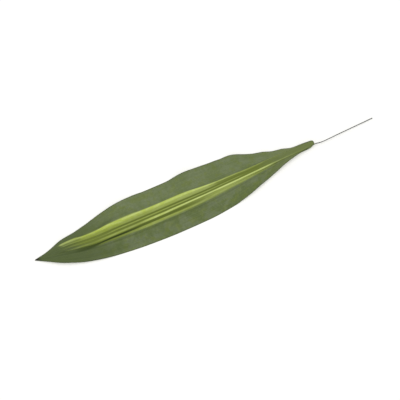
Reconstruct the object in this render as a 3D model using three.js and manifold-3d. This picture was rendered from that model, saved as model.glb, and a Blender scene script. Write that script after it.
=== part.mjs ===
// A long variegated dracaena leaf on a thin wire stem, lying face up.
// Millimetres, +Z up. +X runs from the pointed tip to the free end of the wire, +Y is towards
// the waved margin, and the origin is on the ground under the middle of the whole piece.
import * as THREE from 'three';
import { mergeVertices } from 'three/addons/utils/BufferGeometryUtils.js';
import Module from 'manifold-3d';

const wasm = await Module();
wasm.setup();

// Driving dimensions
const LEAF_LENGTH = 559;
const LEAF_THICKNESS = 0.8;
const PLEAT_HEIGHT = 1.1;
const WIRE_RADIUS = 0.68;
const WIRE_SLEEVE_RADIUS = 0.76;
const WIRE_SLEEVE_LENGTH = 26;
const WIRE_CLEARANCE = 0.26;
const WIRE_BURIED = 66;
const RIB_RADIUS = 1.55;
const RIB_SUNK = 0.4;
const RIB_START = 235;
const RIB_FULL = 470;

// How the blade runs, as [distance from the tip, value]
const MIDRIB_SIDEWAYS = [[0, 2.3], [30, 0.2], [60, -2.2], [90, -5.4], [120, -7.4], [240, -8.5], [320, -8.6],
  [400, -7.6], [480, -4.9], [530, -3.8], [560, -2.6]];
const MIDRIB_HEIGHT = [[0, 0.4], [28, 4.6], [55, 8], [85, 9.4], [120, 9], [165, 7.8], [240, 7], [330, 7],
  [400, 8.6], [480, 7.5], [525, 6.5], [560, 5.8]];
const NEAR_WIDTH = [[0, 0.5], [20, 12.2], [45, 25.8], [75, 34.9], [110, 40.9], [150, 45.9], [200, 49.9],
  [260, 51.8], [320, 50.9], [375, 46], [410, 39.1], [440, 30.6], [470, 22], [500, 12.8], [530, 6.8],
  [560, 3.9]];
const FAR_WIDTH = [[0, 0.5], [20, 4.8], [45, 14.2], [75, 23.4], [110, 33.8], [150, 44], [200, 50.7],
  [222, 51.8], [260, 51.6], [320, 52.6], [375, 51.8], [410, 46.6], [440, 35.3], [470, 24.1], [500, 15.3],
  [530, 8.5], [560, 5.3]];

// The heights of the margins, from crest to trough. Below the ground means pressed flat on it.
const NEAR_HEIGHT = [[0, 0.4], [16, 2], [48, 4.2], [80, 2.4], [110, 1.8], [150, -1], [175, -3], [340, -3],
  [365, -1], [400, 2.4], [435, 4.2], [452, 3.1], [500, 5], [560, 4.4]];
const FAR_HEIGHT = [[0, 0.4], [20, 1.6], [38, 1.2], [57, 6.4], [92, 1.9], [135, 2.8], [176, 6.8], [212, 3.2],
  [250, -2], [274, -2], [316, 7.8], [350, 3], [384, -1.6], [409, 6], [447, 1.8], [466, 5.2], [482, 2],
  [500, 4.8], [516, 1.5], [538, 6.4], [560, 5.4]];

// The pleated band along the midrib: its inner folds and its edges, as distances from the midrib
const FOLD_OFFSET = [[0, 0.15], [30, 2.6], [60, 5], [110, 7.2], [300, 7.2], [350, 6.7], [400, 5.7], [445, 5],
  [500, 4.2], [560, 3.7]];
const BAND_OFFSET = [[0, 0.3], [30, 5.4], [60, 10], [90, 13], [130, 15.5], [200, 16.5], [300, 16.8],
  [350, 14.5], [400, 12.2], [445, 10], [500, 7], [560, 4.6]];
const PLEAT_STRENGTH = [[0, 0], [25, 0.2], [70, 1], [420, 1], [560, 0.35]];
const BAND_SHOULDER = 0.35;

// How the blade bends between the midrib and the margins
const CAMBER_POWER = 1.8;
const GROUND_BLEND = 1;
const BASE_ROUNDING = 6;
const BASE_END_WIDTH = 0.4;

// The wire outside the leaf, as points of its centre line
const WIRE_POINTS = [[573, -6.85, 3.5], [612, -5.1, 2.75], [677.5, -1.9, 1.05]];

// How finely the solids are faceted
const ROWS = 90;
const ROW_BUNCHING = 0.5;
const ROUNDING_ROWS = 4;
const LAMINA_COLUMNS = [0.2, 0.42, 0.64, 0.86, 1];
const FOLD_COLUMN_LIMIT = 0.6;
const BAND_COLUMN_LIMIT = 0.85;
const WIRE_SIDES = 10;
const RIB_SIDES = 10;
const RIB_STATIONS = 14;
const TUBE_STEPS = 32;
const BORE_RUN_OUT = 0.3;
const SLOPE_STEP = 0.5;
const MERGE_DISTANCE = 1e-4;

// A smooth curve through control points that doesn't overshoot between them.
function curveThrough(points) {
  const secants = points.slice(1).map(([x, y], i) => (y - points[i][1]) / (x - points[i][0]));
  const slopes = points.map((_, i) => {
    if (i === 0) return secants[0];
    if (i === secants.length) return secants[i - 1];
    const [before, after] = [secants[i - 1], secants[i]];
    return before * after <= 0 ? 0 : (2 * before * after) / (before + after);
  });
  return (x) => {
    const inside = THREE.MathUtils.clamp(x, points[0][0], points.at(-1)[0]);
    const i = Math.min(points.findLastIndex(([start]) => inside >= start), secants.length - 1);
    const [[x0, y0], [x1, y1]] = [points[i], points[i + 1]];
    const width = x1 - x0;
    const t = (inside - x0) / width;
    return y0 * (1 + 2 * t) * (1 - t) ** 2 + y1 * t * t * (3 - 2 * t)
      + width * (slopes[i] * t * (1 - t) ** 2 + slopes[i + 1] * t * t * (t - 1));
  };
}

const midribSideways = curveThrough(MIDRIB_SIDEWAYS);
const midribHeight = curveThrough(MIDRIB_HEIGHT);
const foldOffset = curveThrough(FOLD_OFFSET);
const bandOffset = curveThrough(BAND_OFFSET);
const pleatStrength = curveThrough(PLEAT_STRENGTH);
const near = { side: -1, width: curveThrough(NEAR_WIDTH), height: curveThrough(NEAR_HEIGHT) };
const far = { side: 1, width: curveThrough(FAR_WIDTH), height: curveThrough(FAR_HEIGHT) };

// Half the blade's width on one side, with the base end rounded off.
function halfWidth(edge, x) {
  const past = THREE.MathUtils.clamp((x - LEAF_LENGTH) / BASE_ROUNDING + 1, 0, 1);
  const rounding = Math.sqrt(1 - past * past);
  return edge.width(x) * (BASE_END_WIDTH + (1 - BASE_END_WIDTH) * rounding);
}

// The relief of the folds at an offset from the midrib: groove, fold, valley, band edge.
function pleat(x, offset) {
  const fold = foldOffset(x);
  const band = bandOffset(x);
  const height = 0.5 * PLEAT_HEIGHT * pleatStrength(x);
  if (offset < fold) return -height * Math.cos((Math.PI * offset) / fold);
  if (offset < band) return height * Math.cos((2 * Math.PI * (offset - fold)) / (band - fold));
  return height * (1 - THREE.MathUtils.smoothstep(offset, band, band * (1 + BAND_SHOULDER)));
}

// Keeps a height above the ground, with a soft bend where it meets it.
function aboveGround(z) {
  if (z > GROUND_BLEND) return z;
  if (z < -GROUND_BLEND) return 0;
  return (z + GROUND_BLEND) ** 2 / (4 * GROUND_BLEND);
}

// A point of the blade's underside, at a distance from the tip and an offset to one side.
function underside(edge, x, offset) {
  const share = offset / edge.width(x);
  const drop = (edge.height(x) - midribHeight(x)) * share ** CAMBER_POWER;
  const z = aboveGround(midribHeight(x) + drop + pleat(x, offset));
  return new THREE.Vector3(x, midribSideways(x) + edge.side * offset, z);
}

// The upward direction square to the underside.
function upward(edge, x, offset) {
  const along = underside(edge, x + SLOPE_STEP, offset).sub(underside(edge, x - SLOPE_STEP, offset));
  const inner = Math.max(offset - SLOPE_STEP, 0);
  const across = underside(edge, x, offset + SLOPE_STEP).sub(underside(edge, x, inner));
  return along.cross(across.multiplyScalar(edge.side)).normalize();
}

// The offsets of the blade's columns on one side of the midrib, from the inner fold to the margin.
function columnOffsets(edge, x) {
  const width = halfWidth(edge, x);
  const fold = Math.min(foldOffset(x), FOLD_COLUMN_LIMIT * width);
  const band = Math.min(bandOffset(x), BAND_COLUMN_LIMIT * width);
  const lamina = LAMINA_COLUMNS.map((share) => band + (width - band) * share);
  return [fold / 2, fold, (fold + band) / 2, band, ...lamina];
}

function solidFrom(geometry) {
  const bare = geometry.clone();
  bare.deleteAttribute('normal');
  bare.deleteAttribute('uv');
  const merged = mergeVertices(bare, MERGE_DISTANCE);
  return new wasm.Manifold(new wasm.Mesh({
    numProp: 3,
    vertProperties: new Float32Array(merged.attributes.position.array),
    triVerts: new Uint32Array(merged.index.array),
  }));
}

function geometryFrom(solid) {
  const { vertProperties, triVerts } = solid.getMesh();
  const geometry = new THREE.BufferGeometry();
  geometry.setAttribute('position', new THREE.BufferAttribute(vertProperties, 3));
  geometry.setIndex(new THREE.BufferAttribute(triVerts, 1));
  geometry.computeVertexNormals();
  return geometry;
}

// The distances of the blade's rows from the tip, closer together at both ends.
function rowPositions() {
  const straight = LEAF_LENGTH - BASE_ROUNDING;
  const positions = [];
  for (let i = 0; i <= ROWS; i += 1) {
    const turn = 2 * Math.PI * (i / ROWS);
    positions.push(straight * (i / ROWS - (ROW_BUNCHING * Math.sin(turn)) / (2 * Math.PI)));
  }
  for (let i = 1; i <= ROUNDING_ROWS; i += 1) {
    positions.push(straight + BASE_ROUNDING * Math.sin((Math.PI / 2) * (i / ROUNDING_ROWS)));
  }
  return positions;
}

// The waved blade: rows from tip to base, with the same columns on the top and the underside.
function bladeGeometry() {
  const rows = rowPositions().map((x) => {
    const nearSide = columnOffsets(near, x).reverse().map((offset) => [near, offset]);
    const farSide = columnOffsets(far, x).map((offset) => [far, offset]);
    return [...nearSide, [far, 0], ...farSide].map(([edge, offset]) => {
      const low = underside(edge, x, offset);
      const high = upward(edge, x, offset).multiplyScalar(LEAF_THICKNESS).add(low);
      return { low, high };
    });
  });
  const corners = [];
  const panel = (a, b, c, d) => corners.push(a, b, c, a, c, d);
  const lastColumn = rows[0].length - 1;
  for (let i = 0; i < rows.length - 1; i += 1) {
    const [row, next] = [rows[i], rows[i + 1]];
    for (let j = 0; j < lastColumn; j += 1) {
      panel(row[j].high, next[j].high, next[j + 1].high, row[j + 1].high);
      corners.push(row[j].low, next[j + 1].low, next[j].low, row[j].low, row[j + 1].low, next[j + 1].low);
    }
    panel(row[0].low, next[0].low, next[0].high, row[0].high);
    panel(next[lastColumn].low, row[lastColumn].low, row[lastColumn].high, next[lastColumn].high);
  }
  for (let j = 0; j < lastColumn; j += 1) {
    const [tip, base] = [rows[0], rows.at(-1)];
    panel(tip[j + 1].low, tip[j].low, tip[j].high, tip[j + 1].high);
    panel(base[j].low, base[j + 1].low, base[j + 1].high, base[j].high);
  }
  const geometry = new THREE.BufferGeometry().setFromPoints(corners);
  return mergeVertices(geometry, MERGE_DISTANCE);
}

// The rib starts half sunk in the blade's underside and swells to its full radius.
function ribRadius(x) {
  return THREE.MathUtils.lerp(RIB_SUNK, RIB_RADIUS, THREE.MathUtils.smoothstep(x, RIB_START, RIB_FULL));
}

// The line of the rib and of the wire inside it, under the near inner fold.
function ribPoint(x) {
  const point = underside(near, x, foldOffset(x));
  return point.sub(upward(near, x, foldOffset(x)).multiplyScalar(ribRadius(x) - RIB_SUNK));
}

function roundSection(radius, sides) {
  const shape = new THREE.Shape();
  for (let i = 0; i < sides; i += 1) {
    const angle = (2 * Math.PI * i) / sides;
    const corner = [radius * Math.cos(angle), radius * Math.sin(angle)];
    if (i === 0) shape.moveTo(...corner);
    else shape.lineTo(...corner);
  }
  shape.closePath();
  return shape;
}

// A round bar along a path, with its radius multiplied by widen(x) along the way.
function roundBar(path, radius, sides, widen = () => 1) {
  const bar = new THREE.ExtrudeGeometry(roundSection(radius, sides), {
    steps: TUBE_STEPS,
    extrudePath: path,
    bevelEnabled: false,
  });
  const centres = path.getSpacedPoints(TUBE_STEPS);
  const position = bar.attributes.position;
  for (let i = 0; i < position.count; i += 1) {
    const corner = new THREE.Vector3().fromBufferAttribute(position, i);
    const centre = centres.reduce((a, b) => (b.distanceTo(corner) < a.distanceTo(corner) ? b : a));
    corner.sub(centre).multiplyScalar(widen(centre.x)).add(centre);
    position.setXYZ(i, ...corner.toArray());
  }
  return bar;
}

function pathThrough(points) {
  return new THREE.CatmullRomCurve3(points, false, 'centripetal');
}

// The rib under the blade, thin at its start and full where it holds the wire.
function ribGeometry() {
  const shares = Array.from({ length: RIB_STATIONS }, (_, i) => i / (RIB_STATIONS - 1));
  const stations = shares.map((share) => THREE.MathUtils.lerp(RIB_START, LEAF_LENGTH, share));
  const share = (x) => ribRadius(x) / RIB_RADIUS;
  return roundBar(pathThrough(stations.map(ribPoint)), RIB_RADIUS, RIB_SIDES, share);
}

const wireStart = LEAF_LENGTH - WIRE_BURIED;
const buriedPoints = [0, 1 / 3, 2 / 3, 1].map((share) => ribPoint(wireStart + share * WIRE_BURIED));
const wirePath = pathThrough([...buriedPoints, ...WIRE_POINTS.map((point) => new THREE.Vector3(...point))]);

// The bore in the rib, which runs on past the base end so that it opens there.
function boreGeometry() {
  const closedEnd = buriedPoints[0].clone().lerp(buriedPoints[1], -WIRE_CLEARANCE / (WIRE_BURIED / 3));
  const mouth = buriedPoints[3].clone().lerp(new THREE.Vector3(...WIRE_POINTS[0]), BORE_RUN_OUT);
  const path = pathThrough([closedEnd, ...buriedPoints.slice(1), mouth]);
  return roundBar(path, WIRE_SLEEVE_RADIUS + WIRE_CLEARANCE, WIRE_SIDES);
}

function leafBlade() {
  const solid = solidFrom(bladeGeometry()).add(solidFrom(ribGeometry())).subtract(solidFrom(boreGeometry()));
  const material = new THREE.MeshStandardMaterial({ color: 0x67744b, roughness: 0.55, metalness: 0 });
  const mesh = new THREE.Mesh(geometryFrom(solid), material);
  mesh.name = 'leaf_blade';
  return mesh;
}

// The wire is thickest where it leaves the leaf, in a short sleeve that tapers off.
function stemWire() {
  const sleeveEnd = LEAF_LENGTH + WIRE_SLEEVE_LENGTH;
  const sleeve = (x) => THREE.MathUtils.lerp(
    WIRE_SLEEVE_RADIUS / WIRE_RADIUS, 1, THREE.MathUtils.smoothstep(x, LEAF_LENGTH, sleeveEnd));
  const material = new THREE.MeshStandardMaterial({ color: 0x44473f, roughness: 0.5, metalness: 0.3 });
  const mesh = new THREE.Mesh(roundBar(wirePath, WIRE_RADIUS, WIRE_SIDES, sleeve), material);
  mesh.name = 'stem_wire';
  return mesh;
}

const group = new THREE.Group();
group.add(leafBlade(), stemWire());
const box = new THREE.Box3().setFromObject(group);
const middle = box.getCenter(new THREE.Vector3());
group.position.set(-middle.x, -middle.y, -box.min.z);

export default group;
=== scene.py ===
# A long variegated dracaena leaf on a thin wire stem, lying face up on a pale floor.
# Metres, +Z up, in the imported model's frame: +X runs from the pointed tip to the free end of the wire.
import math

import bpy
import numpy as np
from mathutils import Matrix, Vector


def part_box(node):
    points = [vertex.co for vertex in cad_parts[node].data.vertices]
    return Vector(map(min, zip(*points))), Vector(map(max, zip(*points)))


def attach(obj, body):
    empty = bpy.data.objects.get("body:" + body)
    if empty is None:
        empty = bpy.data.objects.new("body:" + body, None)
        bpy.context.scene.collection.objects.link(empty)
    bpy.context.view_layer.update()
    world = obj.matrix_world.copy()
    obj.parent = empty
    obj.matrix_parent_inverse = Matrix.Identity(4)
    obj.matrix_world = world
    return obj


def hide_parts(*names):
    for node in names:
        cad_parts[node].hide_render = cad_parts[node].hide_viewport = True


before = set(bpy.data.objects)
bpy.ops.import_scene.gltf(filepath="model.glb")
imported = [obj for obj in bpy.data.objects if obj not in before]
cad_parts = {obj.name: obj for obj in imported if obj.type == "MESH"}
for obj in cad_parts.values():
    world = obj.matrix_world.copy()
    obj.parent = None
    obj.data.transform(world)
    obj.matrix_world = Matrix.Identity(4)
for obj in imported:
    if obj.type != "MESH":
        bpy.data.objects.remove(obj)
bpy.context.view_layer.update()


# Leaf blade
# One long leaf, waxed dark green, waved along its margins and pleated lengthwise in the middle.
# It is one piece from tip to base, with a rib under the near fold that holds the wire.
# Its sizes are in millimetres, counted from the tip, and its mesh is made in metres.
MM = 0.001
LEAF_LENGTH = 559
LEAF_THICKNESS = 0.8
MARGIN_THICKNESS = 0.65
MARGIN_THINNING = 22
PLEAT_HEIGHT = 1.1
RIB_RADIUS = 1.55
RIB_SUNK = 0.4
RIB_START = 235
RIB_FULL = 470
RIB_EASING = 20
RIB_FILLET = 1.1
RIB_ROUNDNESS = 1.5
RIB_END_LENGTH = 24
RIB_END_RADIUS = 0.98
RIB_END_BEVEL = 0.2
RIB_END_RINGS = 24
BAR_SIDES = 24

# How the blade runs, as (distance from the tip, value)
MIDRIB_SIDEWAYS = [(0, 2.3), (30, 0.2), (60, -2.2), (90, -5.4), (120, -7.4), (240, -8.5), (320, -8.6),
                   (400, -7.6), (480, -4.9), (530, -3.8), (560, -2.6)]
MIDRIB_HEIGHT = [(0, 0.4), (28, 4.6), (55, 8), (85, 9.4), (120, 9), (165, 7.8), (240, 7), (330, 7),
                 (400, 8.6), (480, 7.5), (525, 6.5), (560, 5.8)]
NEAR_WIDTH = [(0, 0.5), (20, 12.2), (45, 25.8), (75, 34.9), (110, 40.9), (150, 45.9), (200, 49.9),
              (260, 51.8), (320, 50.9), (375, 46), (410, 39.1), (440, 30.6), (470, 22), (500, 12.8),
              (530, 6.8), (560, 3.9)]
FAR_WIDTH = [(0, 0.5), (20, 4.8), (45, 14.2), (75, 23.4), (110, 33.8), (150, 44), (200, 50.7), (222, 51.8),
             (260, 51.6), (320, 52.6), (375, 51.8), (410, 46.6), (440, 35.3), (470, 24.1), (500, 15.3),
             (530, 8.5), (560, 5.3)]

# The heights of the margins, from crest to trough. Below the ground means pressed flat on it.
NEAR_HEIGHT = [(0, 0.4), (16, 2), (48, 4.2), (80, 2.4), (110, 1.8), (150, -1), (175, -3), (340, -3),
               (365, -1), (400, 2.4), (435, 4.2), (452, 3.1), (500, 5), (560, 4.4)]
FAR_HEIGHT = [(0, 0.4), (20, 1.6), (38, 1.2), (57, 6.4), (92, 1.9), (135, 2.8), (176, 6.8), (212, 3.2),
              (250, -2), (274, -2), (316, 7.8), (350, 3), (384, -1.6), (409, 6), (447, 1.8),
              (466, 5.2), (482, 2), (500, 4.8), (516, 1.5), (538, 6.4), (560, 5.4)]

# The pleated band: its inner folds and its edges, as distances from the midrib
FOLD_OFFSET = [(0, 0.15), (30, 2.6), (60, 5), (110, 7.2), (300, 7.2), (350, 6.7), (400, 5.7), (445, 5),
               (500, 4.2), (560, 3.7)]
BAND_OFFSET = [(0, 0.3), (30, 5.4), (60, 10), (90, 13), (130, 15.5), (200, 16.5), (300, 16.8),
               (350, 14.5), (400, 12.2), (445, 10), (500, 7), (560, 4.6)]
PLEAT_STRENGTH = [(0, 0), (25, 0.2), (70, 1), (420, 1), (560, 0.35)]
BAND_SHOULDER = 0.35

# Fine relief in the band, as (place in the band, height, half width). The midrib is at 0, the
# inner folds at 1, the band's edges at 2. Below 0 is the near side.
FINE_RELIEF = [(0, 0.16, 0.1), (0.33, -0.2, 0.1), (-0.33, -0.2, 0.1), (-1, 0.2, 0.12), (1, 0.14, 0.12),
               (-1.52, -0.3, 0.12), (1.3, -0.08, 0.06), (1.55, 0.06, 0.08), (1.75, -0.06, 0.05),
               (-2, 0.14, 0.1), (2, 0.16, 0.07), (0.66, 0.08, 0.07), (-0.66, 0.08, 0.07)]
CAMBER_POWER = 1.8
GROUND_BLEND = 1
BASE_ROUNDING = 6
BASE_END_WIDTH = 0.4
LIP_RADIUS = 0.3
LIP_SHARE = 0.3

# How fine the mesh is: its rows along the leaf and its columns on each side of the midrib
ROWS = 370
ROW_BUNCHING = 0.5
ROUNDING_ROWS = 12
LIP_ROWS = 4
FOLD_COLUMNS = 14
BAND_COLUMNS = 18
LAMINA_COLUMNS = 18
FOLD_COLUMN_LIMIT = 0.6
BAND_COLUMN_LIMIT = 0.85
SLOPE_STEP = 0.25


def curve_through(points):
    """A smooth curve through control points that doesn't overshoot between them."""
    xs, ys = np.array(points, float).T
    secants = np.diff(ys) / np.diff(xs)
    product = secants[:-1] * secants[1:]
    total = secants[:-1] + secants[1:]
    inner = np.divide(2 * product, total, out=np.zeros_like(product), where=product > 0)
    slopes = np.concatenate([secants[:1], inner, secants[-1:]])

    def value(x):
        inside = np.clip(x, xs[0], xs[-1])
        i = np.clip(np.searchsorted(xs, inside, side="right") - 1, 0, len(secants) - 1)
        width = xs[i + 1] - xs[i]
        t = (inside - xs[i]) / width
        bend = slopes[i] * t * (1 - t) ** 2 + slopes[i + 1] * t * t * (t - 1)
        return ys[i] * (1 + 2 * t) * (1 - t) ** 2 + ys[i + 1] * t * t * (3 - 2 * t) + width * bend

    return value


def smoothstep(x, low, high):
    """0 below low, 1 above high, and smooth between them."""
    t = np.clip((x - low) / (high - low), 0, 1)
    return t * t * (3 - 2 * t)


midrib_sideways = curve_through(MIDRIB_SIDEWAYS)
midrib_height = curve_through(MIDRIB_HEIGHT)
fold_offset = curve_through(FOLD_OFFSET)
band_offset = curve_through(BAND_OFFSET)
pleat_strength = curve_through(PLEAT_STRENGTH)
near_width, near_height = curve_through(NEAR_WIDTH), curve_through(NEAR_HEIGHT)
far_width, far_height = curve_through(FAR_WIDTH), curve_through(FAR_HEIGHT)


def half_width(side, x):
    """Half the blade's width on one side, before the base end is rounded off."""
    return np.where(side < 0, near_width(x), far_width(x))


def rounded_width(side, x):
    """Half the blade's width on one side, with the base end rounded off."""
    past = np.clip((x - LEAF_LENGTH) / BASE_ROUNDING + 1, 0, 1)
    return half_width(side, x) * (BASE_END_WIDTH + (1 - BASE_END_WIDTH) * np.sqrt(1 - past * past))


def band_place(side, x, offset):
    """Where an offset lies: 0 midrib, 1 inner fold, 2 band edge, 3 margin, with the side's sign."""
    fold, band, width = fold_offset(x), band_offset(x), half_width(side, x)
    inner = offset / fold
    middle = 1 + (offset - fold) / (band - fold)
    outer = 2 + (offset - band) / np.maximum(width - band, 1)
    return side * np.where(offset < fold, inner, np.where(offset < band, middle, outer))


def pleat(side, x, offset):
    """The relief of the folds at an offset from the midrib, with the fine lines on them."""
    fold, band = fold_offset(x), band_offset(x)
    inner = -np.cos(np.pi * offset / fold)
    middle = np.cos(2 * np.pi * (offset - fold) / (band - fold))
    outer = 1 - smoothstep(offset, band, band * (1 + BAND_SHOULDER))
    relief = 0.5 * PLEAT_HEIGHT * np.where(offset < fold, inner, np.where(offset < band, middle, outer))
    place = band_place(side, x, offset)
    for at, height, reach in FINE_RELIEF:
        relief = relief + height * np.exp(-((place - at) / reach) ** 2)
    return relief * pleat_strength(x)


def above_ground(z):
    """Keeps a height above the ground, with a soft bend where it meets it."""
    bent = (z + GROUND_BLEND) ** 2 / (4 * GROUND_BLEND)
    return np.where(z > GROUND_BLEND, z, np.where(z < -GROUND_BLEND, 0, bent))


def underside(side, x, offset):
    """Points of the blade's underside without its rib."""
    margin_height = np.where(side < 0, near_height(x), far_height(x))
    share = np.abs(offset) / half_width(side, x)
    drop = (margin_height - midrib_height(x)) * share ** CAMBER_POWER
    z = above_ground(midrib_height(x) + drop + pleat(side, x, np.abs(offset)))
    return np.stack([x, midrib_sideways(x) + side * offset, z], axis=-1)


def upward(side, x, offset):
    """The direction square to the underside."""
    along = underside(side, x + SLOPE_STEP, offset) - underside(side, x - SLOPE_STEP, offset)
    across = underside(side, x, offset + SLOPE_STEP) - underside(side, x, offset - SLOPE_STEP)
    normal = np.cross(along, across * side[..., None])
    return normal / np.linalg.norm(normal, axis=-1, keepdims=True)


def lip_positions(count):
    """Shares of the lip's radius, closer together at the very edge."""
    return 1 - np.cos(0.5 * np.pi * np.arange(count) / count)


def row_positions():
    """The distances of the rows from the tip, closer together at both ends."""
    straight = LEAF_LENGTH - BASE_ROUNDING
    share = np.arange(ROWS + 1) / ROWS
    rows = straight * (share - ROW_BUNCHING * np.sin(2 * np.pi * share) / (2 * np.pi))
    rounding = np.arange(1, ROUNDING_ROWS + 1) / ROUNDING_ROWS
    base = straight + BASE_ROUNDING * np.sin(0.5 * np.pi * rounding)
    tip_lip = LIP_RADIUS * lip_positions(LIP_ROWS)
    base_lip = LEAF_LENGTH - tip_lip
    inside = np.concatenate([rows[rows > LIP_RADIUS], base[base < LEAF_LENGTH - LIP_RADIUS]])
    return np.concatenate([tip_lip, [LIP_RADIUS], inside, [LEAF_LENGTH - LIP_RADIUS], base_lip[::-1]])


def side_offsets(side, x):
    """The offsets of the columns on one side of the midrib, from the first beside it to the margin."""
    width = rounded_width(side, x)
    fold = np.minimum(fold_offset(x), FOLD_COLUMN_LIMIT * width)
    band = np.minimum(band_offset(x), BAND_COLUMN_LIMIT * width)
    lip = np.minimum(LIP_RADIUS, LIP_SHARE * (width - band))
    inner = fold[:, None] * np.arange(1, FOLD_COLUMNS + 1) / FOLD_COLUMNS
    middle = fold[:, None] + (band - fold)[:, None] * np.arange(1, BAND_COLUMNS + 1) / BAND_COLUMNS
    lamina = (width - lip - band)[:, None]
    outer = band[:, None] + lamina * np.arange(1, LAMINA_COLUMNS + 1) / LAMINA_COLUMNS
    edge = width[:, None] - lip[:, None] * lip_positions(LIP_ROWS)[::-1]
    return np.concatenate([inner, middle, outer, edge], axis=1)


def closing(distance, reach):
    """How far apart the two faces are near an edge, from 0 at the edge to 1 inside."""
    inside = np.clip(distance / reach, 0, 1)
    return np.sqrt(1 - (1 - inside) ** 2)


def blade_grid():
    """The side, distance from the tip and offset of each point of the blade, row by row."""
    rows = row_positions()
    near = np.full(len(rows), -1.0)
    near_columns = side_offsets(near, rows)[:, ::-1]
    far_columns = side_offsets(-near, rows)
    offset = np.concatenate([near_columns, np.zeros((len(rows), 1)), far_columns], axis=1)
    side = np.concatenate([np.full_like(near_columns, -1), np.full((len(rows), 1), 1.0),
                           np.full_like(far_columns, 1)], axis=1)
    x = np.repeat(rows[:, None], offset.shape[1], axis=1)
    return side, x, offset


def rib_depth(side, x, offset):
    """How far the rib swells out of the underside."""
    radius = RIB_SUNK + (RIB_RADIUS - RIB_SUNK) * smoothstep(x, RIB_START, RIB_FULL)
    deep = 2 * radius - RIB_SUNK
    reach = radius + RIB_FILLET
    beside = np.abs(side * offset + fold_offset(x))
    rise = smoothstep(x, RIB_START - 2 * RIB_FILLET, RIB_START + RIB_EASING)
    return deep * rise * np.sqrt(1 - np.clip(beside / reach, 0, 1) ** 2) ** RIB_ROUNDNESS


def rib_point(x):
    """The middle of the full rib, where the wire lies."""
    near, at = np.array([-1.0]), np.array([float(x)])
    point = underside(near, at, fold_offset(at))[0]
    return point - upward(near, at, fold_offset(at))[0] * (RIB_RADIUS - RIB_SUNK)


def round_bar(centres, radii, bevel):
    """The vertices and faces of a round bar along the given points, with bevelled flat ends."""
    direction = np.gradient(centres, axis=0)
    direction /= np.linalg.norm(direction, axis=1, keepdims=True)
    centres = np.concatenate([centres[:1], centres, centres[-1:]])
    direction = np.concatenate([direction[:1], direction, direction[-1:]])
    radii = np.concatenate([radii[:1] - bevel, radii, radii[-1:] - bevel])
    centres[1] += direction[1] * bevel
    centres[-2] -= direction[-2] * bevel
    sideways = np.cross(direction, [0, 0, 1])
    sideways /= np.linalg.norm(sideways, axis=1, keepdims=True)
    upwards = np.cross(sideways, direction)
    angle = 2 * np.pi * np.arange(BAR_SIDES) / BAR_SIDES
    out_sideways = np.cos(angle)[None, :, None] * sideways[:, None]
    out_upwards = np.sin(angle)[None, :, None] * upwards[:, None]
    rings = centres[:, None] + radii[:, None, None] * (out_sideways + out_upwards)
    ring_index = np.arange(len(centres) * BAR_SIDES).reshape(len(centres), BAR_SIDES)
    beside = np.roll(ring_index, -1, axis=1)
    wall = np.stack([ring_index[:-1], beside[:-1], beside[1:], ring_index[1:]], axis=-1)
    faces = wall.reshape(-1, 4).tolist() + [ring_index[0][::-1].tolist(), ring_index[-1].tolist()]
    return rings.reshape(-1, 3), faces


# The two faces of the blade, which meet at the rim
side, x, offset = blade_grid()
width = rounded_width(side, x)
from_margin = width - offset
from_end = np.minimum(x, LEAF_LENGTH - x)
band_reach = np.minimum(band_offset(x), BAND_COLUMN_LIMIT * width)
lip_reach = np.minimum(LIP_RADIUS, LIP_SHARE * (width - band_reach))
apart = closing(from_margin, lip_reach) * closing(from_end, LIP_RADIUS)
inwards = smoothstep(from_margin, 0, MARGIN_THINNING)
thickness = MARGIN_THICKNESS + (LEAF_THICKNESS - MARGIN_THICKNESS) * inwards
bottom = underside(side, x, offset)
normal = upward(side, x, offset)
middle_height = 0.5 * thickness[..., None] * normal
high = bottom + middle_height * (1 + apart[..., None])
low = bottom + middle_height * (1 - apart[..., None])
low = low - normal * (rib_depth(side, x, offset) * apart)[..., None]

# The vertices of the top face come first, then those of the underside that aren't on the rim
row_count, column_count = x.shape
top_index = np.arange(row_count * column_count).reshape(x.shape)
inner_rows, inner_columns = slice(1, -1), slice(1, -1)
under_index = top_index.copy()
inner_count = (row_count - 2) * (column_count - 2)
inner_index = top_index.size + np.arange(inner_count)
under_index[inner_rows, inner_columns] = inner_index.reshape(row_count - 2, -1)


def both_faces(top_values, under_values):
    """One value for each vertex: the top face's, then the underside's without the shared rim."""
    return np.concatenate([top_values.reshape(top_index.size, -1),
                           under_values[inner_rows, inner_columns].reshape(inner_count, -1)])


def panels(index, upwards):
    """The four-sided faces between neighbouring vertices of a grid, facing up or down."""
    corners = [index[:-1, :-1], index[1:, :-1], index[1:, 1:], index[:-1, 1:]]
    quads = np.stack(corners if upwards else corners[::-1], axis=-1)
    return quads.reshape(-1, 4)


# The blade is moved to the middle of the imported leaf's box, and later kept inside it
leaf_vertices = both_faces(high, low)
leaf_low, leaf_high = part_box("leaf_blade")
leaf_shift = 0.5 * (np.array(leaf_low) + np.array(leaf_high)) / MM
leaf_shift = leaf_shift - 0.5 * (leaf_vertices.min(axis=0) + leaf_vertices.max(axis=0))
leaf_shift[2] = 0
leaf_faces = np.concatenate([panels(top_index, True), panels(under_index, False)]).tolist()

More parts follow.
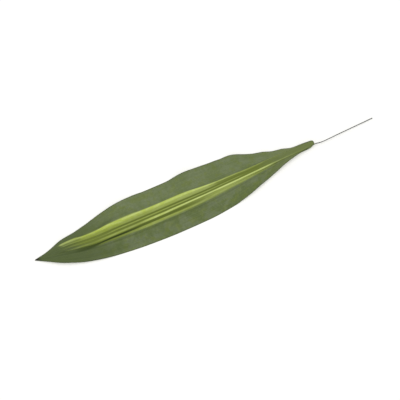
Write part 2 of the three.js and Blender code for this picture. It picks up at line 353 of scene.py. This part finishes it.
# The rib's end, a round sheath that narrows towards the base and closes around the wire
rib_along = np.linspace(LEAF_LENGTH - RIB_END_LENGTH, LEAF_LENGTH, RIB_END_RINGS)
rib_narrowing = smoothstep(rib_along, LEAF_LENGTH - RIB_END_LENGTH, LEAF_LENGTH)
rib_radii = RIB_RADIUS + (RIB_END_RADIUS - RIB_RADIUS) * rib_narrowing
rib_centres = np.array([rib_point(distance) for distance in rib_along])
rib_vertices, rib_faces = round_bar(rib_centres, rib_radii, RIB_END_BEVEL)
leaf_faces += [[corner + len(leaf_vertices) for corner in face] for face in rib_faces]
leaf_vertices = np.concatenate([leaf_vertices, rib_vertices])
leaf_vertices = np.clip((leaf_vertices + leaf_shift) * MM, leaf_low, leaf_high)
leaf_mesh = bpy.data.meshes.new("leaf")
leaf_mesh.from_pydata(leaf_vertices.tolist(), [], leaf_faces)
leaf_mesh.shade_smooth()

# Where each vertex lies on the leaf, for the colours: on the top face, the underside and the rib's
# end. The rim and the rib's end count as half on top.
HALF_ON_TOP = 0.5
place = band_place(side, x, offset)
across = side * offset / width
inside_rim = np.minimum(from_margin, from_end)
on_top = np.where(apart > 0, 1.0, HALF_ON_TOP)
readings = {
    "along": (x, x, LEAF_LENGTH - 0.5 * RIB_END_LENGTH),
    "place": (place, place, -1),
    "across": (across, across, -1),
    "from_margin": (inside_rim, inside_rim, RIB_RADIUS),
    "on_top": (on_top, 1 - on_top, HALF_ON_TOP),
}
for name, (top_values, under_values, rib_value) in readings.items():
    layer = leaf_mesh.attributes.new(name, "FLOAT", "POINT")
    values = np.append(both_faces(top_values, under_values), np.full(len(rib_vertices), rib_value))
    layer.data.foreach_set("value", values)

leaf = bpy.data.objects.new("leaf", leaf_mesh)
bpy.context.scene.collection.objects.link(leaf)
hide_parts("leaf_blade")
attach(leaf, "root")


class Shade:
    """A value or colour on a surface. Arithmetic on it adds Math nodes to its material."""

    def __init__(self, tree, socket=None):
        self.tree = tree
        self.socket = socket

    def node(self, kind, settings=None, inputs=None, output=None):
        """Adds a node: its settings first, then the values or links of its sockets."""
        made = self.tree.nodes.new(kind)
        for name, setting in (settings or {}).items():
            if name == "points":
                curve = made.mapping.curves[0]
                while len(curve.points) < len(setting):
                    curve.points.new(1, 0)
                for point, location in zip(curve.points, setting):
                    point.location = location
                    point.handle_type = "AUTO_CLAMPED"
                made.mapping.update()
            else:
                setattr(made, name, setting)
        for name, value in (inputs or {}).items():
            socket = next(s for s in made.inputs if name in (s.identifier, s.name))
            if isinstance(value, Shade):
                self.tree.links.new(value.socket, socket)
            else:
                socket.default_value = value
        sockets = [s for s in made.outputs if output in (None, s.identifier, s.name)]
        return Shade(self.tree, sockets[0] if sockets else None)

    def math(self, operation, first, second=0.0):
        return self.node("ShaderNodeMath", {"operation": operation},
                         {"Value": first, "Value_001": second})

    def __add__(self, other):
        return self.math("ADD", self, other)

    def __radd__(self, other):
        return self.math("ADD", other, self)

    def __sub__(self, other):
        return self.math("SUBTRACT", self, other)

    def __rsub__(self, other):
        return self.math("SUBTRACT", other, self)

    def __mul__(self, other):
        return self.math("MULTIPLY", self, other)

    def __rmul__(self, other):
        return self.math("MULTIPLY", other, self)

    def __truediv__(self, other):
        return self.math("DIVIDE", self, other)

    def __abs__(self):
        return self.math("ABSOLUTE", self)

    def rise(self, low, high):
        """0 below low, 1 above high, and smooth between them."""
        return self.node("ShaderNodeMapRange", {"interpolation_type": "SMOOTHSTEP"},
                         {"Value": self, "From Min": low, "From Max": high})

    def line(self, at, reach):
        """1 on a line and 0 beside it."""
        return 1 - abs(self - at).rise(0, reach)

    def between(self, low, high, soft):
        """1 between two edges, and smooth over each edge."""
        return self.rise(low - soft, low + soft) * (1 - self.rise(high - soft, high + soft))

    def through(self, points, span):
        """A smooth curve through (value, result) points, for values from 0 to the span."""
        top = max(result for _, result in points)
        shares = [(value / span, result / top) for value, result in points]
        return self.node("ShaderNodeFloatCurve", {"points": shares}, {"Value": self / span}) * top

    def mix(self, colour, other):
        """The first colour where the value is 0, and the other where it is 1."""
        return self.node("ShaderNodeMix", {"data_type": "RGBA"},
                         {"Factor_Float": self, "A_Color": colour, "B_Color": other}, "Result_Color")


def colour(red, green, blue):
    """A display colour, 0 to 255, as the linear colour that a material takes."""
    shares = [c / 255 for c in (red, green, blue)]
    return tuple(s / 12.92 if s <= 0.04045 else ((s + 0.055) / 1.055) ** 2.4 for s in shares) + (1,)


TIP_BROWN = colour(26, 23, 14)
DARK_GREEN = colour(66, 79, 41)
LAMINA_GREEN = colour(84, 97, 55)
GREY_GREEN = colour(98, 108, 79)
# Painted light: the lighter green of the far half, for the side that faces the lamp
FAR_LIT_GREEN = colour(110, 121, 86)
BASE_GREEN = colour(104, 114, 66)
OLIVE = colour(98, 110, 38)
STRIPE_YELLOW = colour(168, 184, 70)
STRIPE_PALE = colour(187, 200, 122)
# The dark of the creases: partly the leaf's own lines, partly painted shade in their grooves
CREASE_LINE_AND_SHADE = colour(40, 54, 0)
MARGIN_GREEN = colour(50, 58, 32)
UNDERSIDE_GREEN = colour(118, 130, 88)

# The markings run along the leaf. Their places across it are places in the band, on the far side
# above 0 and on the near side below it. Each list gives (distance from the tip, place or strength).
FAR_EDGE_PLACE = [(0, 2.06), (80, 2.06), (94, 1.83), (111, 1.72), (130, 1.83), (148, 1.98), (195, 2.01),
                  (213, 1.95), (240, 1.9), (296, 1.86), (342, 1.63), (370, 1.52), (398, 1.5), (435, 1.35),
                  (485, 1.9), (560, 1.9)]
FAR_EDGE_LINE = [(0, 0), (44, 0), (52, 0.5), (60, 0.66), (84, 0.64), (110, 0.88), (140, 0.98), (340, 1),
                 (365, 0.7), (398, 0.5), (440, 0.26), (485, 0.24), (525, 0.05), (560, 0)]
FAR_START_ALONG = [(0, 0), (48, 0), (56, 0.34), (84, 0.36), (110, 0.76), (130, 0.5), (148, 0)]
FAR_STRIPE_ACROSS = [(0, 0), (0.42, 0), (0.66, 0.3), (0.85, 0.38), (1, 0.44), (1.3, 0.74), (1.7, 0.9),
                     (2.4, 0.95)]
FAR_STRIPE_ALONG = [(0, 0), (78, 0), (100, 1), (165, 1), (185, 0.86), (213, 0.84), (245, 0.98), (335, 1),
                    (368, 0.14), (400, 0)]
FAR_CREASE_ALONG = [(0, 0), (80, 0.05), (100, 0.3), (140, 0.34), (170, 0.15), (260, 0.08), (350, 0)]
SECOND_LINE_PLACE = [(0, 0.8), (70, 0.76), (110, 0.55), (150, 0.6), (560, 0.6)]
SECOND_LINE_ALONG = [(0, 0), (48, 0), (58, 0.26), (90, 0.3), (120, 0.38), (150, 0.2), (170, 0)]
MIDRIB_LINE_PLACE = [(0, 0.45), (55, 0.42), (74, 0.28), (125, 0.3), (150, 0.14), (180, 0.01), (560, 0.01)]
MIDRIB_LINE_ALONG = [(0, 0), (48, 0), (58, 0.24), (200, 0.42), (260, 0.46), (320, 0.38), (400, 0.3),
                     (430, 0), (560, 0)]
INNER_CREASE_ALONG = [(0, 0), (45, 0.1), (60, 0.25), (150, 0.32), (200, 0.24), (300, 0.26), (380, 0.1),
                      (430, 0)]
NEAR_CREST_PLACE = [(0, 1.5), (55, 1.42), (92, 1.18), (111, 1.16), (130, 1.1), (150, 1.04), (190, 0.98),
                    (215, 0.92), (240, 0.93), (300, 0.86), (342, 0.84), (372, 0.88), (398, 0.95), (560, 1)]
NEAR_HIGHLIGHT_ALONG = [(0, 0), (50, 0.02), (60, 0.14), (90, 0.3), (111, 0.22), (150, 0.4), (195, 0.36),
                    (215, 0.64), (240, 0.9), (320, 1), (345, 0.84), (375, 1), (440, 0.92),
                    (462, 0.76), (480, 0.3), (520, 0.12), (560, 0.05)]
NEAR_CREASE_PLACE = [(0, 2), (74, 1.95), (92, 1.92), (111, 1.84), (130, 1.66), (150, 1.58), (190, 1.53),
                     (215, 1.46), (560, 1.42)]
NEAR_CREASE_ALONG = [(0, 0), (60, 0.1), (80, 0.5), (105, 0.85), (150, 1), (180, 0.85), (205, 0.5),
                     (240, 0.3), (296, 0.24), (345, 0)]
NEAR_STRIPE_ALONG = [(0, 0), (270, 0), (300, 0.1), (342, 0.34), (370, 0.45), (400, 0.4), (435, 0.26),
                     (480, 0)]
NEAR_EDGE_ALONG = [(0, 0), (120, 0), (150, 0.1), (185, 0.22), (215, 0.42), (240, 0.48), (300, 0.36),
                   (360, 0.34), (400, 0.34), (440, 0.1), (470, 0)]

# Where stripes and creases lie across the band, as (low, high, softness of their edges). The near crest's
# painted highlight and the near crease are counted from their own places, and the far edge's line from the
# far edge.
FAR_EDGE_ACROSS = (-0.46, -0.04, 0.06)
FAR_START_ACROSS = (1.1, 1.8, 0.3)
NEAR_HIGHLIGHT_ACROSS = (-0.19, 0.19, 0.08)
NEAR_STRIPE_ACROSS = (-2, -1.1, 0.08)
NEAR_EDGE_ACROSS = (-2.03, -1.76, 0.05)
NEAR_CREASE_ACROSS = (-0.22, 0.22, 0.08)
MIDRIB_LINE_REACH = 0.22
SECOND_LINE_REACH = 0.3
INNER_CREASE_PLACE, INNER_CREASE_REACH = 0.38, 0.2
FAR_CREASE_PLACE, FAR_CREASE_REACH = 0.16, 0.2
NEAR_RIM_PLACE, NEAR_RIM_REACH, NEAR_RIM_STRENGTH = -2.16, 0.1, 0.2
EDGE_WANDER = 0.16
FAR_EDGE_SOFTNESS = 0.07
BAND_NEAR_EDGE = (-2.1, -1.98)

# Where the changes along the leaf and towards its rim begin and are full, and how strong they are
BAND_START, BAND_START_LAG = (40, 100), 26
BAND_START_SLANT = (-1, -0.5)
BAND_FADE, BAND_FADE_SHARE = (430, 500), 0.8
TIP_BROWN_UNTIL = (2, 14)
MARGIN_DARK_UNTIL = (0.5, 2.0)
MARGIN_STRENGTH, FAR_MARGIN_EXTRA = 0.55, 0.25
MARGIN_SIDES = (-0.2, 0.2)

leaf_material = bpy.data.materials.new("waxed striped leaf")
leaf_material.use_nodes = True
leaf_material.node_tree.nodes.clear()
leaf_mesh.materials.append(leaf_material)
blank = Shade(leaf_material.node_tree)
along, place, across, from_margin, on_top = [
    blank.node("ShaderNodeAttribute", {"attribute_name": name}, output="Fac") for name in readings]


def streaks(length, count, detail):
    """Noise drawn out along the leaf, with about the given number of streaks on each side."""
    where = blank.node("ShaderNodeCombineXYZ", inputs={"X": along / length, "Y": across * count})
    return blank.node("ShaderNodeTexNoise", {"noise_dimensions": "2D"},
                      {"Vector": where, "Scale": 1.0, "Detail": detail, "Roughness": 0.6}, "Fac")


def strength(points):
    """How strong a marking is from the tip to the base."""
    return along.through(points, LEAF_LENGTH)


def layered(base, layers):
    """A colour with layers over it: (what each follows, where it starts and is full, share, colour)."""
    for guide, start, full, share, tone in layers:
        base = (guide.rise(start, full) * share).mix(base, tone)
    return base


def added(first, terms):
    """A value with terms added to it: (what each follows, where it starts and is full, share)."""
    for guide, start, full, share in terms:
        first = first + share * guide.rise(start, full)
    return first


grain = streaks(170, 16, 3.0)
veins = streaks(80, 46, 2.0)
fine_veins = streaks(240, 100, 1.0)
patches = streaks(32, 1.7, 2.0)
blotches = streaks(14, 4.5, 2.0)
flecks = streaks(5, 12, 2.0)
pale_patches = streaks(12, 12, 2.0)

# The lamina, darker near the tip and yellower at the base, with soft patches and fine veins
lamina = layered(patches.rise(0.38, 0.62).mix(LAMINA_GREEN, GREY_GREEN), [
    # Painted light: the far half is mixed towards a lighter green, as lit by the lamp
    (across, -0.1, 0.5, 0.4, FAR_LIT_GREEN),
    (blotches, 0.48, 0.66, 0.42, OLIVE),
    (flecks, 0.5, 0.68, 0.24, LAMINA_GREEN),
    (flecks, 0.5, 0.34, 0.2, UNDERSIDE_GREEN),
    (along, 195, 75, 0.85, DARK_GREEN),
    (veins, 0.35, 0.7, 0.2, OLIVE),
    (fine_veins, 0.5, 0.66, 0.22, DARK_GREEN),
    (fine_veins, 0.5, 0.34, 0.16, UNDERSIDE_GREEN),
    (along, 440, 540, 0.7, BASE_GREEN),
])

# The band, olive, with its yellow-green stripes, whose edges wander a little, and a pale painted highlight
# along the near crest
uneven = place + EDGE_WANDER * (grain - 0.5)
far_edge = strength(FAR_EDGE_PLACE)
inside_far_edge = 1 - (uneven - far_edge).rise(-FAR_EDGE_SOFTNESS, FAR_EDGE_SOFTNESS)
band_start = (along - BAND_START_LAG * (1 - place.rise(*BAND_START_SLANT))).rise(*BAND_START)
band_fade = 1 - BAND_FADE_SHARE * along.rise(*BAND_FADE)
band = inside_far_edge * place.rise(*BAND_NEAR_EDGE) * band_start * band_fade
surface = band.mix(lamina, OLIVE)
midrib_line = (uneven + strength(MIDRIB_LINE_PLACE)).line(0, MIDRIB_LINE_REACH)
second_line = (uneven - strength(SECOND_LINE_PLACE)).line(0, SECOND_LINE_REACH)
# Painted highlight: a pale line along the near crest, where the ridge catches the light
near_crest_highlight = (uneven + strength(NEAR_CREST_PLACE)).between(*NEAR_HIGHLIGHT_ACROSS)
near_crest_highlight = near_crest_highlight * strength(NEAR_HIGHLIGHT_ALONG)
stripes = [
    uneven.through(FAR_STRIPE_ACROSS, 3) * strength(FAR_STRIPE_ALONG) * inside_far_edge,
    (uneven - far_edge).between(*FAR_EDGE_ACROSS) * strength(FAR_EDGE_LINE),
    uneven.between(*FAR_START_ACROSS) * strength(FAR_START_ALONG),
    second_line * strength(SECOND_LINE_ALONG),
    midrib_line * strength(MIDRIB_LINE_ALONG),
    near_crest_highlight,
    uneven.between(*NEAR_STRIPE_ACROSS) * strength(NEAR_STRIPE_ALONG),
    uneven.between(*NEAR_EDGE_ACROSS) * strength(NEAR_EDGE_ALONG),
]
yellow = stripes[0]
for stripe in stripes[1:]:
    yellow = yellow.math("MAXIMUM", yellow, stripe)
yellow = yellow * added(0.82, [(grain, 0.35, 0.6, 0.12), (fine_veins, 0.62, 0.44, 0.1)])
# The painted highlight on the near crest is also made paler
tint = added(0.3 * near_crest_highlight, [
    (grain, 0.4, 0.7, 0.3),
    (pale_patches, 0.42, 0.62, 0.45),
    (along, 95, 70, 0.5),
    (along, 150, 200, 0.2),
    (along, 250, 340, 0.3),
])
surface = yellow.mix(surface, tint.mix(STRIPE_YELLOW, STRIPE_PALE))

# Dark creases beside the midrib, below the near fold and outside the far stripe: partly the leaf's own
# dark lines, partly painted shade in the grooves of the pleats
inner_creases = abs(place).line(INNER_CREASE_PLACE, INNER_CREASE_REACH) * strength(INNER_CREASE_ALONG)
near_crease = (place + strength(NEAR_CREASE_PLACE)).between(*NEAR_CREASE_ACROSS)
near_crease = near_crease * strength(NEAR_CREASE_ALONG)
far_crease = (place - far_edge).line(FAR_CREASE_PLACE, FAR_CREASE_REACH) * strength(FAR_CREASE_ALONG)
near_rim = place.line(NEAR_RIM_PLACE, NEAR_RIM_REACH) * NEAR_RIM_STRENGTH
surface = (inner_creases + near_crease + far_crease + near_rim).mix(surface, CREASE_LINE_AND_SHADE)

# The dark margins, the brown tip and the paler underside
margin = MARGIN_STRENGTH + FAR_MARGIN_EXTRA * across.rise(*MARGIN_SIDES)
surface = ((1 - from_margin.rise(*MARGIN_DARK_UNTIL)) * margin).mix(surface, MARGIN_GREEN)
surface = (1 - along.rise(*TIP_BROWN_UNTIL)).mix(surface, TIP_BROWN)
under_colour = layered(UNDERSIDE_GREEN, [
    (veins, 0.35, 0.7, 0.35, GREY_GREEN),
    (fine_veins, 0.5, 0.66, 0.3, LAMINA_GREEN),
])
under_colour = (yellow * 0.3).mix(under_colour, STRIPE_PALE)
surface = on_top.rise(0.3, 0.7).mix(under_colour, surface)

# A satin wax, a little rougher underneath, over faint relief along the veins
LEAF_ROUGHNESS = 0.6
UNDERSIDE_ROUGHER = 0.1
PATCHES_SMOOTHER = 0.06
LEAF_SPECULAR = 0.2
RELIEF_STRENGTH = 0.35
RELIEF_METRES = 0.0002
relief = blank.node("ShaderNodeBump", inputs={
    "Strength": RELIEF_STRENGTH, "Distance": RELIEF_METRES,
    "Height": veins * 0.5 + fine_veins * 0.3 + grain * 0.2}, output="Normal")
gloss = LEAF_ROUGHNESS + UNDERSIDE_ROUGHER * (1 - on_top) - PATCHES_SMOOTHER * patches
shell = blank.node("ShaderNodeBsdfPrincipled", inputs={
    "Base Color": surface, "Roughness": gloss, "Normal": relief,
    "Specular IOR Level": LEAF_SPECULAR}, output="BSDF")
blank.node("ShaderNodeOutputMaterial", inputs={"Surface": shell})


# Stem wire
# A straight green-grey florist's wire, thin and stiff. One end lies in the leaf's rib, where a
# covering makes it a little thicker. It narrows outside the base, and its free end is cut square.
WIRE_RADIUS = 0.68
WIRE_SLEEVE_RADIUS = 0.76
WIRE_SLEEVE_LENGTH = 26
WIRE_BURIED = 66
WIRE_END_BEVEL = 0.12
WIRE_POINTS = [(573, -6.85, 3.5), (612, -5.1, 2.75), (677.5, -1.9, 1.05)]
WIRE_STEPS = 160
BURIED_SHARES = (1, 2 / 3, 1 / 3, 0)
SPLINE_STEPS = 200


def path_through(points, count):
    """Evenly spaced points on a centripetal spline, a smooth curve through the given points."""
    points = np.array(points, float)
    points = np.concatenate([[2 * points[0] - points[1]], points, [2 * points[-1] - points[-2]]])
    knots = np.concatenate([[0], np.cumsum(np.linalg.norm(np.diff(points, axis=0), axis=1) ** 0.5)])
    dense = []
    for i in range(1, len(points) - 2):
        for t in np.linspace(knots[i], knots[i + 1], SPLINE_STEPS, endpoint=False):
            a = [(points[j] * (knots[j + 1] - t) + points[j + 1] * (t - knots[j]))
                 / (knots[j + 1] - knots[j]) for j in (i - 1, i, i + 1)]
            b = [(a[j] * (knots[i + 1 + j] - t) + a[j + 1] * (t - knots[i - 1 + j]))
                 / (knots[i + 1 + j] - knots[i - 1 + j]) for j in (0, 1)]
            dense.append((b[0] * (knots[i + 1] - t) + b[1] * (t - knots[i])) / (knots[i + 1] - knots[i]))
    dense = np.array(dense + [points[-2]])
    run = np.concatenate([[0], np.cumsum(np.linalg.norm(np.diff(dense, axis=0), axis=1))])
    even = np.linspace(0, run[-1], count)
    return np.stack([np.interp(even, run, dense[:, k]) for k in range(3)], axis=1)


buried = [rib_point(LEAF_LENGTH - WIRE_BURIED * share) for share in BURIED_SHARES]
centres = path_through(buried + WIRE_POINTS, WIRE_STEPS)
radii = WIRE_RADIUS + (WIRE_SLEEVE_RADIUS - WIRE_RADIUS) * (
    1 - smoothstep(centres[:, 0], LEAF_LENGTH, LEAF_LENGTH + WIRE_SLEEVE_LENGTH))
wire_vertices, wire_faces = round_bar(centres, radii, WIRE_END_BEVEL)
wire_low, wire_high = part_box("stem_wire")
wire_vertices = np.clip((wire_vertices + leaf_shift) * MM, wire_low, wire_high)
wire_mesh = bpy.data.meshes.new("wire")
wire_mesh.from_pydata(wire_vertices.tolist(), [], wire_faces)
wire_mesh.shade_smooth()
wire = bpy.data.objects.new("wire", wire_mesh)
bpy.context.scene.collection.objects.link(wire)
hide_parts("stem_wire")
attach(wire, "root")

WIRE_GREY = colour(46, 48, 41)
WIRE_DARK = colour(26, 28, 23)
SPECK_SCALE = 900.0
SPECK_RISE = (0.35, 0.65)
WIRE_ROUGHNESS, SPECKS_ROUGHER = 0.5, 0.2
WIRE_SPECULAR = 0.2
SCRATCH_STRENGTH = 0.2
SCRATCH_METRES = 0.0001

wire_material = bpy.data.materials.new("painted stem wire")
wire_material.use_nodes = True
wire_material.node_tree.nodes.clear()
wire_mesh.materials.append(wire_material)
blank = Shade(wire_material.node_tree)
position = blank.node("ShaderNodeTexCoord", output="Object")
specks = blank.node("ShaderNodeTexNoise", inputs={
    "Vector": position, "Scale": SPECK_SCALE, "Detail": 2.0}, output="Fac")
paint = specks.rise(*SPECK_RISE).mix(WIRE_DARK, WIRE_GREY)
scratches = blank.node("ShaderNodeBump", inputs={
    "Strength": SCRATCH_STRENGTH, "Distance": SCRATCH_METRES, "Height": specks}, output="Normal")
shell = blank.node("ShaderNodeBsdfPrincipled", inputs={
    "Base Color": paint, "Roughness": WIRE_ROUGHNESS + SPECKS_ROUGHER * specks,
    "Normal": scratches, "Specular IOR Level": WIRE_SPECULAR}, output="BSDF")
blank.node("ShaderNodeOutputMaterial", inputs={"Surface": shell})


# Floor
# A plain matt white sheet on a light table, larger than any view of the leaf. The light that
# comes up through it keeps the leaf's shadow faint.
FLOOR_HALF = 4.0
FLOOR_WHITE = colour(204, 204, 204)
FLOOR_GLOW = colour(255, 254, 246)
FLOOR_GLOW_STRENGTH = 0.37
FLOOR_ROUGHNESS = 0.9

floor_mesh = bpy.data.meshes.new("floor")
floor_corners = [(-FLOOR_HALF, -FLOOR_HALF, 0), (FLOOR_HALF, -FLOOR_HALF, 0),
                 (FLOOR_HALF, FLOOR_HALF, 0), (-FLOOR_HALF, FLOOR_HALF, 0)]
floor_mesh.from_pydata(floor_corners, [], [(0, 1, 2, 3)])
floor = bpy.data.objects.new("floor", floor_mesh)
bpy.context.scene.collection.objects.link(floor)
floor_material = bpy.data.materials.new("white paper")
floor_material.use_nodes = True
floor_material.node_tree.nodes.clear()
floor_mesh.materials.append(floor_material)
blank = Shade(floor_material.node_tree)
shell = blank.node("ShaderNodeBsdfPrincipled", inputs={
    "Base Color": FLOOR_WHITE, "Roughness": FLOOR_ROUGHNESS, "Specular IOR Level": 0.0,
    "Emission Color": FLOOR_GLOW, "Emission Strength": FLOOR_GLOW_STRENGTH}, output="BSDF")
blank.node("ShaderNodeOutputMaterial", inputs={"Surface": shell})


# Light and camera
# A bright even room with one wide soft lamp overhead, a little to the far left, and a camera that
# looks down steeply from the near left through a very long lens.
ROOM_LIGHT = 0.96
LAMP_WATTS = 17
LAMP_SIZE = 2.4
LAMP_FROM = Vector((-0.5, 0.7, 2.5))
CAMERA_AZIMUTH = math.radians(-25.3)
CAMERA_ELEVATION = math.radians(65)
CAMERA_LENS = 1000
FIELD_WIDTH = 0.728
CAMERA_TARGET = Vector((-0.016, -0.0082, 0))

world = bpy.data.worlds.new("bright room")
bpy.context.scene.world = world
world.use_nodes = True
world.node_tree.nodes["Background"].inputs["Color"].default_value = (1, 1, 1, 1)
world.node_tree.nodes["Background"].inputs["Strength"].default_value = ROOM_LIGHT

lamp_data = bpy.data.lights.new("wide lamp", "AREA")
lamp_data.energy = LAMP_WATTS
lamp_data.size = LAMP_SIZE
lamp = bpy.data.objects.new("wide lamp", lamp_data)
lamp.location = LAMP_FROM
lamp.rotation_mode = "QUATERNION"
lamp.rotation_quaternion = (-LAMP_FROM).to_track_quat("-Z", "Y")
bpy.context.scene.collection.objects.link(lamp)

camera_data = bpy.data.cameras.new("camera")
camera_data.lens = CAMERA_LENS
camera = bpy.data.objects.new("camera", camera_data)
towards_camera = Vector((math.sin(CAMERA_AZIMUTH) * math.cos(CAMERA_ELEVATION),
                         -math.cos(CAMERA_AZIMUTH) * math.cos(CAMERA_ELEVATION),
                         math.sin(CAMERA_ELEVATION)))
camera_distance = FIELD_WIDTH * CAMERA_LENS / camera_data.sensor_width
camera.location = CAMERA_TARGET + towards_camera * camera_distance
camera.rotation_mode = "QUATERNION"
camera.rotation_quaternion = (-towards_camera).to_track_quat("-Z", "Y")
bpy.context.scene.collection.objects.link(camera)
bpy.context.scene.camera = camera
bpy.context.scene.view_settings.view_transform = "Standard"
